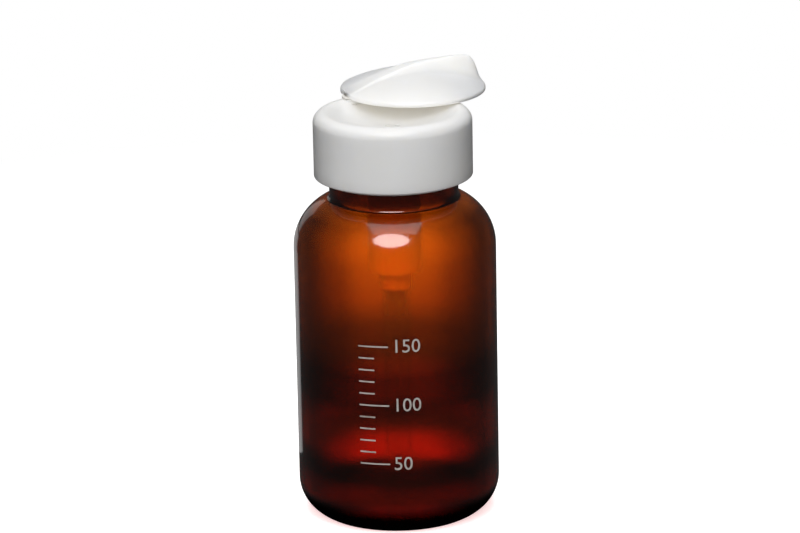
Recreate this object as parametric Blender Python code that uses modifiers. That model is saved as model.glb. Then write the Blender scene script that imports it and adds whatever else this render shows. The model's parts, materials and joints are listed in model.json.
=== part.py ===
"""Push-top dispensing bottle with a swing lid.

An amber glass bottle carries a screw-on pump. The white cap is the push button: it slides down
over the screw collar, drives a piston, and liquid comes up through two slots into its dish.
A domed lid with a grip fin swings over the dish on a pin in the cap's rim.
"""
import math

import bmesh
import bpy
from mathutils import Vector

MM = 0.001  # sizes below are in millimetres, heights are above the table

# Clearance between pieces that meet
GAP = 0.3

# White cap: outer skirt, rounded rim and smooth dish
CAP_RADIUS = 24.6
CAP_WALL = 1.6
CAP_BOTTOM = 108.1
CAP_CREST = 128.5
RIM_OUTER_ROUND = 4.0
RIM_INNER_ROUND = 5.0
DISH_DEPTH = 4.9
CAP_STROKE = 4.5
SLOT_SIZE = (1.5, 0.5)
SLOT_SPACING = 3.0
KEY_COUNT = 4
KEY_WIDTH = 2.0
KEY_HEIGHT = 0.8

# Screw collar inside the cap's skirt, and the neck it fits
COLLAR_PLAY = 0.5
COLLAR_WALL = 1.2
THREAD_PITCH = 3.175
THREAD_BEAD = 0.85
THREAD_START = 108.9
THREAD_PLAY = 0.45
NECK_THREAD = (math.radians(0), math.radians(300))
COLLAR_THREAD = (math.radians(120), math.radians(400))
COLLAR_RADIUS = CAP_RADIUS - CAP_WALL - COLLAR_PLAY
COLLAR_BORE = COLLAR_RADIUS - COLLAR_WALL

# Glass bottle
BODY_RADIUS = 31.4
GLASS_WALL = 2.4
FLOOR = 5.0
HEEL_RADIUS = 12.0
HEEL_TURN = math.radians(64)
SHOULDER_RADIUS = 16.8
SHOULDER_START = 85.5
NECK_RADIUS = COLLAR_BORE - THREAD_BEAD - THREAD_PLAY
NECK_WALL = 3.2
NECK_BORE = NECK_RADIUS - NECK_WALL
LIP_HEIGHT = 112.9
LIP_ROUND = 0.9

# Gasket, collar and pump stack over the glass lip
GASKET_THICK = 1.0
FLANGE_THICK = 1.2
FLANGE_INSET = 0.6
COLLAR_TOP_THICK = 1.4
COLLAR_BOTTOM = 107.4
FLANGE_RADIUS = NECK_RADIUS - FLANGE_INSET

# Pump
STEM_RADIUS = 3.3
STEM_BORE = 1.6
BOSS_RADIUS = 4.8
BOSS_BOTTOM = 116.3
CYLINDER_RADIUS = 8.2
CYLINDER_BORE = 6.5
GUIDE_LENGTH = 3.5
GUIDE_FLANGE = 0.6
SEAL_LENGTH = 6.3
STEM_STEP = 1.4
STEM_FOOT = 1.2
SPRING_LENGTH = 16.2
SPRING_TURNS = 7
SPRING_RADIUS = 4.3
SPRING_WIRE = 0.4
RETAINER_THICK = 1.2
INLET_BALL = 2.4
INLET_BORE = 1.5
INLET_POCKET = 3.3
INLET_LIFT = 1.0
OUTLET_BALL = 1.9
OUTLET_POCKET = 2.5
OUTLET_SEAT = 117.0
SPIGOT_RADIUS = 2.9
SPIGOT_LENGTH = 9.0
TUBE_WALL = 0.9
TUBE_END = 7.5

# Swing lid on its pin; the lid's own x runs from the pin along the fin
PIN_REACH = CAP_RADIUS - RIM_OUTER_ROUND - GAP
PIN_EDGE = 2.4
LID_RADIUS = PIN_REACH + PIN_EDGE
LID_EDGE = 0.6
LID_DOME = 5.2
LID_WALL = 1.3
LID_GAP = 1.1
PIN_AZIMUTH = math.radians(127.6)
LID_REST = math.radians(20.8)
PIN_RADIUS = 1.5
PIN_BOSS = 3.2
PIN_DEPTH = 4.5
PIN_ENGAGE = 1.0
WASHER_THICK = 0.5
CLIP_RADIUS = 2.3
CLIP_THICK = 1.0
# Fin sections: share of the lid's radius from its centre, crest height, half width at the dome and on top
FIN_SECTIONS = ((-0.98, 1.3, 3.0, 2.3), (-0.82, 2.7, 3.0, 2.2), (-0.59, 4.9, 3.1, 2.0),
                (-0.21, 7.2, 3.3, 1.6), (0.00, 8.1, 3.5, 1.3), (0.37, 8.6, 3.8, 1.1),
                (0.69, 8.8, 3.8, 1.1), (0.77, 8.3, 3.6, 1.1), (0.82, 6.8, 3.2, 1.2),
                (0.88, 4.2, 2.8, 1.4), (0.94, 1.6, 2.4, 1.6))

# Facets round each turned piece
ROUND = 40
ROUND_SMALL = 24

# Heights that follow from the sizes above
GASKET_Z = LIP_HEIGHT + GAP
FLANGE_Z = GASKET_Z + GASKET_THICK + GAP
FLANGE_TOP = FLANGE_Z + FLANGE_THICK
COLLAR_PLATE_Z = FLANGE_TOP + GAP
COLLAR_TOP = COLLAR_PLATE_Z + COLLAR_TOP_THICK
DISH_Z = CAP_CREST - DISH_DEPTH
SOCKET_TOP = DISH_Z - CAP_WALL - 0.1
GUIDE_TOP = BOSS_BOTTOM - CAP_STROKE - 2 * GAP
GUIDE_BOTTOM = GUIDE_TOP - GUIDE_LENGTH
STEM_STEP_TOP = GUIDE_BOTTOM - GAP
SEAL_TOP = STEM_STEP_TOP - STEM_STEP - GAP
SEAL_BOTTOM = SEAL_TOP - SEAL_LENGTH
STEM_FOOT_TOP = SEAL_BOTTOM - GAP
STEM_END = STEM_FOOT_TOP - STEM_FOOT
SPRING_TOP = STEM_END - GAP
SPRING_BOTTOM = SPRING_TOP - SPRING_LENGTH
RETAINER_TOP = SPRING_BOTTOM - GAP
RETAINER_Z = RETAINER_TOP - RETAINER_THICK
POCKET_TOP = RETAINER_Z - GAP
INLET_BALL_Z = RETAINER_Z - GAP - INLET_LIFT - INLET_BALL
INLET_SEAT = INLET_BALL_Z - GAP - math.sqrt(INLET_BALL ** 2 - INLET_BORE ** 2)
OUTLET_BALL_Z = OUTLET_SEAT + GAP + math.sqrt(OUTLET_BALL ** 2 - STEM_BORE ** 2)
CYLINDER_END = INLET_SEAT - 1.8
TUBE_BORE = SPIGOT_RADIUS + GAP
PIN_X = PIN_REACH * math.cos(PIN_AZIMUTH)
PIN_Y = PIN_REACH * math.sin(PIN_AZIMUTH)
LID_Z = CAP_CREST + LID_GAP
PIN_BOSS_Z = CAP_CREST - PIN_DEPTH
CLIP_Z = PIN_BOSS_Z - GAP - CLIP_THICK

PART = "push_top_bottle"


def start_scene():
    """Empty the file and make one collection for the parts and one for the cutters."""
    for old in list(bpy.data.objects):
        bpy.data.objects.remove(old)
    groups = {}
    for name in (PART, PART + "_cutters"):
        groups[name] = bpy.data.collections.new(name)
        bpy.context.scene.collection.children.link(groups[name])
    return groups[PART], groups[PART + "_cutters"]


PARTS, CUTTERS = start_scene()


def material(name, colour, roughness, metallic=0.0, transmission=0.0):
    mat = bpy.data.materials.new(name)
    mat.use_nodes = True
    shader = mat.node_tree.nodes["Principled BSDF"]
    shader.inputs["Base Color"].default_value = (*colour, 1.0)
    shader.inputs["Roughness"].default_value = roughness
    shader.inputs["Metallic"].default_value = metallic
    shader.inputs["Transmission Weight"].default_value = transmission
    mat.diffuse_color = (*colour, 1.0)
    return mat


AMBER_GLASS = material("amber_glass", (0.30, 0.09, 0.012), 0.06, transmission=0.8)
WHITE_PLASTIC = material("white_plastic", (0.86, 0.85, 0.82), 0.35)
CLEAR_PLASTIC = material("natural_plastic", (0.80, 0.81, 0.80), 0.4, transmission=0.3)
GREY_RUBBER = material("grey_rubber", (0.35, 0.35, 0.34), 0.7)
STEEL = material("stainless_steel", (0.62, 0.62, 0.60), 0.25, metallic=1.0)


def own_material(mat, piece):
    """Each piece keeps its own copy, so that one can be changed alone."""
    copy = mat.copy()
    copy.name = f"{piece}_{mat.name}"
    return copy


def place(name, mesh, mat, group=PARTS, parent=None):
    obj = bpy.data.objects.new(name, mesh)
    group.objects.link(obj)
    if mat:
        mesh.materials.append(own_material(mat, name))
    if group is CUTTERS:
        obj.hide_render = True
        obj.display_type = "WIRE"
    obj.parent = parent
    mesh.shade_smooth()
    return obj


def axis_empty(name, x=0.0, y=0.0, turn=0.0, parent=None):
    """An empty on a joint's axis, which carries the pieces that move with it."""
    empty = bpy.data.objects.new(name, None)
    PARTS.objects.link(empty)
    empty.location = (x * MM, y * MM, 0.0)
    empty.rotation_euler = (0.0, 0.0, turn)
    empty.parent = parent
    return empty


def arc(centre, radius, start, end, steps):
    """Points of an arc in the (radius, height) plane; angles from the outward direction."""
    return [(centre[0] + radius * math.cos(start + (end - start) * i / steps),
             centre[1] + radius * math.sin(start + (end - start) * i / steps)) for i in range(steps + 1)]


def ring(inner, outer, bottom, top):
    """A plain ring's profile, run down its outer side."""
    return [(inner, top), (outer, top), (outer, bottom), (inner, bottom), (inner, top)]


def turned(name, profile, mat, group=PARTS, parent=None, steps=ROUND_SMALL):
    """A profile of (radius, height) points turned round the vertical axis."""
    mesh = bpy.data.meshes.new(name)
    closed = profile[0] == profile[-1]
    points = profile[:-1] if closed else profile
    count = len(points)
    edges = [(i, i + 1) for i in range(count - 1)] + ([(count - 1, 0)] if closed else [])
    mesh.from_pydata([(r * MM, 0.0, z * MM) for r, z in points], edges, [])
    obj = place(name, mesh, mat, group, parent)
    screw = obj.modifiers.new("turn", "SCREW")
    screw.axis = "Z"
    screw.steps = screw.render_steps = round(steps)
    screw.use_merge_vertices = True
    screw.merge_threshold = 1e-5
    screw.use_smooth_shade = True
    return obj


def boolean(obj, tool, operation):
    mod = obj.modifiers.new(tool.name, "BOOLEAN")
    mod.operation = operation
    mod.object = tool
    mod.solver = "EXACT"


def box(name, size, centre, turn=0.0, parent=None):
    """A box cutter with its sizes and centre in millimetres."""
    mesh = bpy.data.meshes.new(name)
    bm = bmesh.new()
    bmesh.ops.create_cube(bm, size=1.0)
    bmesh.ops.scale(bm, vec=Vector(size) * MM, verts=bm.verts)
    bmesh.ops.translate(bm, vec=Vector(centre) * MM, verts=bm.verts)
    bm.to_mesh(mesh)
    bm.free()
    obj = place(name, mesh, None, CUTTERS, parent)
    obj.rotation_euler = (0.0, 0.0, turn)
    return obj


def post(name, radius, bottom, top, x=0.0, y=0.0, parent=None):
    """An upright round cutter or boss."""
    mesh = bpy.data.meshes.new(name)
    bm = bmesh.new()
    bmesh.ops.create_cone(bm, cap_ends=True, segments=round(ROUND_SMALL), radius1=radius * MM,
                          radius2=radius * MM, depth=(top - bottom) * MM)
    bmesh.ops.translate(bm, vec=Vector((x, y, (bottom + top) / 2)) * MM, verts=bm.verts)
    bm.to_mesh(mesh)
    bm.free()
    return place(name, mesh, None, CUTTERS, parent)


def ball(name, radius, height, mat, parent):
    mesh = bpy.data.meshes.new(name)
    bm = bmesh.new()
    bmesh.ops.create_uvsphere(bm, u_segments=16, v_segments=10, radius=radius * MM)
    bm.to_mesh(mesh)
    bm.free()
    obj = place(name, mesh, mat, parent=parent)
    obj.location.z = height * MM
    return obj


def helix_points(radius, start_height, pitch, start, end, per_turn):
    """Points of a helix that climbs one pitch a turn, in metres."""
    count = round((end - start) / math.tau * per_turn)
    points = []
    for i in range(count + 1):
        angle = start + (end - start) * i / count
        height = start_height + pitch * angle / math.tau
        points.append(Vector((radius * math.cos(angle), radius * math.sin(angle), height)) * MM)
    return points


def wire(name, points, radius, mat, group=PARTS, parent=None):
    """A round wire along points, with filled ends, as a mesh."""
    curve = bpy.data.curves.new(name, "CURVE")
    curve.dimensions = "3D"
    curve.bevel_depth = radius * MM
    curve.bevel_resolution = 1
    curve.use_fill_caps = True
    spline = curve.splines.new("POLY")
    spline.points.add(len(points) - 1)
    for spot, point in zip(spline.points, points):
        spot.co = (*point, 1.0)
    source = bpy.data.objects.new(name + "_path", curve)
    bpy.context.scene.collection.objects.link(source)
    bpy.context.view_layer.update()
    mesh = bpy.data.meshes.new_from_object(source.evaluated_get(bpy.context.evaluated_depsgraph_get()))
    bpy.data.objects.remove(source)
    bm = bmesh.new()
    bm.from_mesh(mesh)
    bmesh.ops.remove_doubles(bm, verts=bm.verts, dist=1e-6)
    bmesh.ops.recalc_face_normals(bm, faces=bm.faces)
    bm.to_mesh(mesh)
    bm.free()
    mesh.name = name
    mesh.materials.clear()
    return place(name, mesh, mat, group, parent)


def build_bottle():
    """Hollow glass bottle with a flat base, round shoulder and beaded neck."""
    centre_r = BODY_RADIUS - SHOULDER_RADIUS
    inner_shoulder = SHOULDER_RADIUS - GLASS_WALL
    inner_end = math.acos((NECK_BORE - centre_r) / inner_shoulder)
    outer_end = math.acos((NECK_RADIUS - centre_r) / SHOULDER_RADIUS)
    heel_r = BODY_RADIUS - HEEL_RADIUS
    heel_z = HEEL_RADIUS * math.sin(HEEL_TURN)
    inner_heel = HEEL_RADIUS - GLASS_WALL
    floor_turn = math.asin((heel_z - FLOOR) / inner_heel)
    profile = [(0.0, FLOOR)]
    profile += arc((heel_r, heel_z), inner_heel, -floor_turn, 0.0, 5)
    profile += arc((centre_r, SHOULDER_START), inner_shoulder, 0.0, inner_end, 7)
    lip_in = (NECK_BORE + LIP_ROUND, LIP_HEIGHT - LIP_ROUND)
    lip_out = (NECK_RADIUS - LIP_ROUND, LIP_HEIGHT - LIP_ROUND)
    profile += arc(lip_in, LIP_ROUND, math.pi, math.pi / 2, 3)
    profile += arc(lip_out, LIP_ROUND, math.pi / 2, 0.0, 3)
    profile += arc((centre_r, SHOULDER_START), SHOULDER_RADIUS, outer_end, 0.0, 9)
    profile += arc((heel_r, heel_z), HEEL_RADIUS, 0.0, -HEEL_TURN, 7)
    profile.append((0.0, 0.0))
    bottle = turned("glass_bottle", profile, AMBER_GLASS, steps=ROUND)
    bead = wire("neck_thread", helix_points(NECK_RADIUS, THREAD_START, THREAD_PITCH, *NECK_THREAD, 40),
                THREAD_BEAD, None, CUTTERS)
    boolean(bottle, bead, "UNION")


def build_gasket(liner):
    """Sealing ring between the glass lip and the pump's flange."""
    turned("neck_gasket", ring(NECK_BORE - 1.0, NECK_RADIUS - 0.2, GASKET_Z, GASKET_Z + GASKET_THICK),
           GREY_RUBBER, parent=liner, steps=ROUND)


def build_collar(head):
    """Screw collar: threaded skirt and a top plate that holds the pump's flange down."""
    hole = BOSS_RADIUS + GAP + 0.1
    profile = [(hole, COLLAR_TOP), (COLLAR_RADIUS - 0.5, COLLAR_TOP), (COLLAR_RADIUS, COLLAR_TOP - 0.5),
               (COLLAR_RADIUS, COLLAR_BOTTOM), (COLLAR_BORE, COLLAR_BOTTOM), (COLLAR_BORE, COLLAR_PLATE_Z),
               (hole, COLLAR_PLATE_Z), (hole, COLLAR_TOP)]
    collar = turned("screw_collar", profile, WHITE_PLASTIC, parent=head, steps=ROUND)
    bead_start = THREAD_START - THREAD_PITCH / 2
    bead = wire("collar_thread", helix_points(COLLAR_BORE, bead_start, THREAD_PITCH, *COLLAR_THREAD, 40),
                THREAD_BEAD, None, CUTTERS, head)
    boolean(collar, bead, "UNION")
    key_tip = CAP_RADIUS - CAP_WALL - KEY_HEIGHT
    for i in range(KEY_COUNT):
        depth = 2.0
        slot = box(f"collar_slot_{i}", (depth, KEY_WIDTH + 2 * GAP, 30.0),
                   (key_tip - GAP + depth / 2, 0.0, COLLAR_TOP), math.tau * (i + 0.5) / KEY_COUNT, head)
        boolean(collar, slot, "DIFFERENCE")


def build_pump(head):
    """Cylinder with its flange, stem guide, inlet valve and dip tube."""
    cup = CYLINDER_RADIUS - GAP
    step_z = POCKET_TOP - 1.6
    neck = INLET_POCKET + 1.6
    spigot_end = CYLINDER_END - SPIGOT_LENGTH
    profile = [(cup, FLANGE_TOP), (FLANGE_RADIUS, FLANGE_TOP), (FLANGE_RADIUS, FLANGE_Z),
               (CYLINDER_RADIUS, FLANGE_Z), (CYLINDER_RADIUS, step_z), (neck, step_z - 1.0),
               (neck, CYLINDER_END), (SPIGOT_RADIUS, CYLINDER_END), (SPIGOT_RADIUS, spigot_end),
               (INLET_BORE, spigot_end), (INLET_BORE, INLET_SEAT), (INLET_POCKET, INLET_SEAT),
               (INLET_POCKET, POCKET_TOP), (CYLINDER_BORE, POCKET_TOP),
               (CYLINDER_BORE, FLANGE_TOP - GUIDE_FLANGE - GAP), (cup, FLANGE_TOP - GUIDE_FLANGE - GAP),
               (cup, FLANGE_TOP)]
    turned("pump_cylinder", profile, CLEAR_PLASTIC, parent=head)

    sleeve = BOSS_RADIUS + 2 * GAP
    outer = CYLINDER_BORE - GAP
    profile = [(sleeve, FLANGE_TOP), (cup - GAP, FLANGE_TOP), (cup - GAP, FLANGE_TOP - GUIDE_FLANGE),
               (outer, FLANGE_TOP - GUIDE_FLANGE), (outer, GUIDE_BOTTOM), (STEM_RADIUS + GAP, GUIDE_BOTTOM),
               (STEM_RADIUS + GAP, GUIDE_TOP), (sleeve, GUIDE_TOP), (sleeve, FLANGE_TOP)]
    turned("stem_guide", profile, WHITE_PLASTIC, parent=head)

    retainer = turned("ball_retainer", ring(INLET_BORE, CYLINDER_BORE - GAP, RETAINER_Z, RETAINER_TOP),
                      CLEAR_PLASTIC, parent=head)
    for i in range(3):
        slot = box(f"retainer_slot_{i}", (3.0, 1.0, 4.0), (1.7, 0.0, RETAINER_Z), math.tau * i / 3, head)
        boolean(retainer, slot, "DIFFERENCE")

    tube = turned("dip_tube", ring(TUBE_BORE, TUBE_BORE + TUBE_WALL, TUBE_END, CYLINDER_END - GAP),
                  CLEAR_PLASTIC, parent=head)
    notch = box("tube_notch", (20.0, 3.0, 6.0), (0.0, 0.0, TUBE_END), parent=head)
    boolean(tube, notch, "DIFFERENCE")


def build_spring(head):
    """Return spring below the piston, one unbroken helix."""
    rise = SPRING_LENGTH - 2 * SPRING_WIRE
    pitch = rise / SPRING_TURNS
    points = helix_points(SPRING_RADIUS, SPRING_BOTTOM + SPRING_WIRE, pitch, 0.0, math.tau * SPRING_TURNS, 10)
    wire("return_spring", points, SPRING_WIRE, STEEL, parent=head)
    turn = 10
    least = min((a - b).length for i, a in enumerate(points) for b in points[i + turn // 2:]) / MM
    print(f"return_spring: least gap to itself {least - 2 * SPRING_WIRE:.2f} mm")


def dish_profile():
    """Upper face of the cap: a parabola that runs into the rim's inner round, and its blend angle."""
    centre = (CAP_RADIUS - RIM_OUTER_ROUND, CAP_CREST - RIM_INNER_ROUND)
    low, high = 0.01, 1.2
    for _ in range(60):
        lean = (low + high) / 2
        edge = centre[0] - RIM_INNER_ROUND * math.sin(lean)
        rise = edge * math.tan(lean) / 2
        if DISH_Z + rise < centre[1] + RIM_INNER_ROUND * math.cos(lean):
            low = lean
        else:
            high = lean
    return centre, lean, edge, math.tan(lean) / (2 * edge)


def build_cap(plunger):
    """Push cap: dish, rounded rim, skirt, stem socket, guide keys and the lid pin's boss."""
    rim_in, lean, edge, bend = dish_profile()
    rim_out = (rim_in[0], CAP_CREST - RIM_OUTER_ROUND)
    skirt = CAP_RADIUS - CAP_WALL
    upright = math.pi / 2
    profile = [(edge * i / 7, DISH_Z + bend * (edge * i / 7) ** 2) for i in range(7)]
    profile += arc(rim_in, RIM_INNER_ROUND, upright + lean, upright, 4)
    profile += arc(rim_out, RIM_OUTER_ROUND, upright, 0.0, 6)[1:]
    profile += [(CAP_RADIUS, CAP_BOTTOM + 0.4), (CAP_RADIUS - 0.4, CAP_BOTTOM), (skirt, CAP_BOTTOM)]
    profile += arc(rim_out, RIM_OUTER_ROUND - CAP_WALL, 0.0, upright, 4)
    profile += arc(rim_in, RIM_INNER_ROUND - CAP_WALL, upright, upright + lean, 3)[1:]
    under = edge + CAP_WALL * math.sin(lean)
    profile += [(r, DISH_Z - CAP_WALL + bend * r ** 2) for r in (under * 0.75, under * 0.5, BOSS_RADIUS)]
    profile += [(BOSS_RADIUS, BOSS_BOTTOM), (STEM_RADIUS + GAP, BOSS_BOTTOM),
                (STEM_RADIUS + GAP, SOCKET_TOP), (0.0, SOCKET_TOP)]
    cap = turned("push_cap", profile, WHITE_PLASTIC, parent=plunger, steps=ROUND)
    for i in range(KEY_COUNT):
        root = 0.6
        key = box(f"cap_key_{i}", (KEY_HEIGHT + root, KEY_WIDTH, 11.0),
                  (skirt + (root - KEY_HEIGHT) / 2, 0.0, CAP_BOTTOM + 6.5),
                  math.tau * (i + 0.5) / KEY_COUNT, plunger)
        boolean(cap, key, "UNION")
    boolean(cap, post("pin_boss", PIN_BOSS, PIN_BOSS_Z, CAP_CREST + 0.02, PIN_X, PIN_Y, plunger), "UNION")
    boolean(cap, post("pin_hole", PIN_RADIUS + GAP, PIN_BOSS_Z - 2.0, CAP_CREST + 2.0, PIN_X, PIN_Y, plunger),
            "DIFFERENCE")
    for side in (-1, 1):
        slot = box(f"outlet_slot_{'left' if side < 0 else 'right'}", (*SLOT_SIZE, 6.0),
                   (side * SLOT_SPACING / 2, 0.0, DISH_Z), parent=plunger)
        boolean(cap, slot, "DIFFERENCE")


def build_piston(plunger):
    """Hollow stem and the seal it carries; the wear washer under the lid rides with the cap."""
    step = STEM_RADIUS + 1.1
    foot = SPRING_RADIUS + 0.9
    profile = [(OUTLET_POCKET, SOCKET_TOP - GAP), (STEM_RADIUS, SOCKET_TOP - GAP),
               (STEM_RADIUS, STEM_STEP_TOP), (step, STEM_STEP_TOP),
               (step, STEM_STEP_TOP - STEM_STEP), (STEM_RADIUS, STEM_STEP_TOP - STEM_STEP),
               (STEM_RADIUS, STEM_FOOT_TOP), (foot, STEM_FOOT_TOP), (foot, STEM_END), (STEM_BORE, STEM_END),
               (STEM_BORE, OUTLET_SEAT), (OUTLET_POCKET, OUTLET_SEAT), (OUTLET_POCKET, SOCKET_TOP - GAP)]
    turned("piston_stem", profile, WHITE_PLASTIC, parent=plunger)

    inner, outer, lip, groove = STEM_RADIUS + GAP, CYLINDER_BORE - GAP, 0.6, 1.7
    profile = [(inner, SEAL_TOP), (inner + 0.9, SEAL_TOP), (inner + 1.1, SEAL_TOP - groove),
               (outer - lip - 0.2, SEAL_TOP - groove), (outer - lip, SEAL_TOP), (outer, SEAL_TOP),
               (outer, SEAL_TOP - groove), (outer - 0.4, SEAL_TOP - groove - 0.6),
               (outer - 0.4, SEAL_BOTTOM + groove + 0.6), (outer, SEAL_BOTTOM + groove), (outer, SEAL_BOTTOM),
               (outer - lip, SEAL_BOTTOM), (outer - lip - 0.2, SEAL_BOTTOM + groove),
               (inner + 1.1, SEAL_BOTTOM + groove), (inner + 0.9, SEAL_BOTTOM), (inner, SEAL_BOTTOM),
               (inner, SEAL_TOP)]
    turned("piston_seal", profile, CLEAR_PLASTIC, parent=plunger)

    washer_z = CAP_CREST + GAP
    washer = turned("pin_washer", ring(PIN_RADIUS + GAP, PIN_BOSS, washer_z, washer_z + WASHER_THICK),
                    CLEAR_PLASTIC, parent=plunger)
    washer.location = (PIN_X * MM, PIN_Y * MM, 0.0)


def dome_height(reach):
    """Height of the lid's dome above its edge plane."""
    return LID_EDGE + LID_DOME * (1.0 - (reach / LID_RADIUS) ** 2)


def fin_mesh(name):
    """Grip fin lofted along the lid, flat on top and wider where it meets the dome."""
    mesh = bpy.data.meshes.new(name)
    bm = bmesh.new()
    rows = []
    for share, crest, foot, top in FIN_SECTIONS:
        along = share * LID_RADIUS
        root = max(dome_height(along) - LID_WALL * 0.6, 0.2)
        skirt = root + 0.35 * (crest - root)
        outline = ((-foot, root), (foot, root), (top + 0.4, skirt), (top, crest - 0.3), (top - 0.4, crest),
                   (0.4 - top, crest), (-top, crest - 0.3), (-top - 0.4, skirt))
        rows.append([bm.verts.new(Vector((along + PIN_REACH, across, LID_Z + high)) * MM)
                     for across, high in outline])
    for near, far in zip(rows, rows[1:]):
        for i in range(len(near)):
            j = (i + 1) % len(near)
            bm.faces.new((near[i], near[j], far[j], far[i]))
    bm.faces.new(rows[0])
    bm.faces.new(rows[-1])
    bmesh.ops.recalc_face_normals(bm, faces=bm.faces)
    bm.to_mesh(mesh)
    bm.free()
    return mesh


def build_lid(lid):
    """Domed swing lid with its fin, pivot pin and the clip that keeps the pin in the rim."""
    brim = LID_RADIUS * 0.985
    top = [(brim * i / 9, LID_Z + dome_height(brim * i / 9)) for i in range(10)]
    flange = LID_RADIUS * math.sqrt(1.0 - (LID_WALL - LID_EDGE) / LID_DOME)
    under = [(flange * i / 7, LID_Z + dome_height(flange * i / 7) - LID_WALL) for i in range(6, -1, -1)]
    profile = top + [(LID_RADIUS, LID_Z + LID_EDGE * 0.6), (LID_RADIUS - 0.2, LID_Z), (flange, LID_Z)] + under
    dome = turned("swivel_lid", profile, WHITE_PLASTIC, parent=lid, steps=ROUND)
    dome.location.x = PIN_REACH * MM
    boolean(dome, place("lid_fin", fin_mesh("lid_fin"), None, CUTTERS, lid), "UNION")
    boolean(dome, post("lid_pin_boss", PIN_EDGE, LID_Z - 0.02, LID_Z + 1.1, parent=lid), "UNION")
    boolean(dome, post("lid_pin_hole", PIN_RADIUS + GAP, LID_Z - 1.0, LID_Z + PIN_ENGAGE + GAP, parent=lid),
            "DIFFERENCE")

    groove = PIN_RADIUS - 0.4
    tip = CLIP_Z - 0.2
    shoulder = CLIP_Z + CLIP_THICK + GAP / 2
    profile = [(0.0, LID_Z + PIN_ENGAGE), (PIN_RADIUS, LID_Z + PIN_ENGAGE), (PIN_RADIUS, shoulder),
               (groove, shoulder), (groove, tip), (0.0, tip)]
    turned("lid_pin", profile, STEEL, parent=lid)
    turned("pin_clip", ring(groove + GAP, CLIP_RADIUS, CLIP_Z, CLIP_Z + CLIP_THICK), STEEL, parent=lid)


def build():
    build_bottle()
    liner = axis_empty("liner_axis")
    head = axis_empty("head_axis", parent=liner)
    plunger = axis_empty("plunger_axis", parent=head)
    lid = axis_empty("lid_axis", PIN_X, PIN_Y, LID_REST, plunger)
    build_gasket(liner)
    build_collar(head)
    build_pump(head)
    build_spring(head)
    build_cap(plunger)
    build_piston(plunger)
    build_lid(lid)
    ball("inlet_ball", INLET_BALL, INLET_BALL_Z, STEEL, head)
    ball("outlet_ball", OUTLET_BALL, OUTLET_BALL_Z, STEEL, plunger)


build()
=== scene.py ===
"""Looks of the push-top dispensing bottle: amber glass, satin white mouldings and a studio around them."""
import json
import math

import bmesh
import bpy
from mathutils import Matrix, Vector


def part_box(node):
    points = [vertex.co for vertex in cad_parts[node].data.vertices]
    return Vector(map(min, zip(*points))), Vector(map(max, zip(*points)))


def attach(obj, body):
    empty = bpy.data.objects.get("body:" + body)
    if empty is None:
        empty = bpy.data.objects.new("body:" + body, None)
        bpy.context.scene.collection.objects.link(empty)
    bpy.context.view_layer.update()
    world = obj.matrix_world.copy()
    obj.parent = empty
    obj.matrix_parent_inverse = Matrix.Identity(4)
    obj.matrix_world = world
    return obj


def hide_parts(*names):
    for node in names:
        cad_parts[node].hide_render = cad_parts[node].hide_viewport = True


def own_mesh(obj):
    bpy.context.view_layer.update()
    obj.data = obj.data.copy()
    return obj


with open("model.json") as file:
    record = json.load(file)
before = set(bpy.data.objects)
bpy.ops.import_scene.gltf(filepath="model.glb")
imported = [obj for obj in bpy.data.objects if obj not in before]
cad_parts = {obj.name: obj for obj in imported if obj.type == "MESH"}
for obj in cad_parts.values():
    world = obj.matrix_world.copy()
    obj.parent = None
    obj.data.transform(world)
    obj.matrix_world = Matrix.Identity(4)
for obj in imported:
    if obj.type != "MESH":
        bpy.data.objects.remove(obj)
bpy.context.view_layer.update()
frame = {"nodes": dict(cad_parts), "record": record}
MM = 0.001

# Sizes read off the frame, in metres
BOTTLE_LOW, BOTTLE_HIGH = (Vector(corner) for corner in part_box("glass_bottle"))
CAP_LOW, CAP_HIGH = (Vector(corner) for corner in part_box("push_cap"))
LID_LOW, LID_HIGH = (Vector(corner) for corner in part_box("swivel_lid"))
SPRING_LOW, SPRING_HIGH = (Vector(corner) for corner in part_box("return_spring"))
JOINTS = {joint["name"]: joint for joint in frame["record"]["behaviour"]["joints"]}
PIN = Vector(JOINTS["lid_swivel"]["pos_m"])
LID_RADIUS = (LID_HIGH.x - LID_LOW.x) / 2
LID_CENTRE = Vector(((LID_LOW.x + LID_HIGH.x) / 2, (LID_LOW.y + LID_HIGH.y) / 2, LID_LOW.z))
FIN_AZIMUTH = math.atan2(LID_CENTRE.y - PIN.y, LID_CENTRE.x - PIN.x)

# Glass bottle
BODY_RADIUS = BOTTLE_HIGH.x
GLASS_WALL = 2.4 * MM
GLASS_FLOOR = 5.0 * MM
HEEL_RADIUS = 12.0 * MM
HEEL_TURN = math.radians(64)
SHOULDER_RADIUS = 16.8 * MM
SHOULDER_START = 85.5 * MM
NECK_RADIUS = 20.0 * MM
NECK_BORE = 16.8 * MM
NECK_FILLET = 1.4 * MM
LIP_ROUND = 0.9 * MM
SEAM_AZIMUTH = math.radians(-81.4)
INNER_RADIUS = BODY_RADIUS - GLASS_WALL
HEEL_CENTRE = (BODY_RADIUS - HEEL_RADIUS, HEEL_RADIUS * math.sin(HEEL_TURN))
INNER_HEEL = HEEL_RADIUS - GLASS_WALL

# Screw bead on the neck
BEAD_RADIUS = 0.85 * MM
BEAD_TURNS = 300 / 360
BEAD_RISE = 2.65 * MM
BEAD_FOOT = 108.9 * MM

# Return spring
SPRING_WIRE = 0.4 * MM
SPRING_TURNS = 7.0

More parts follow.
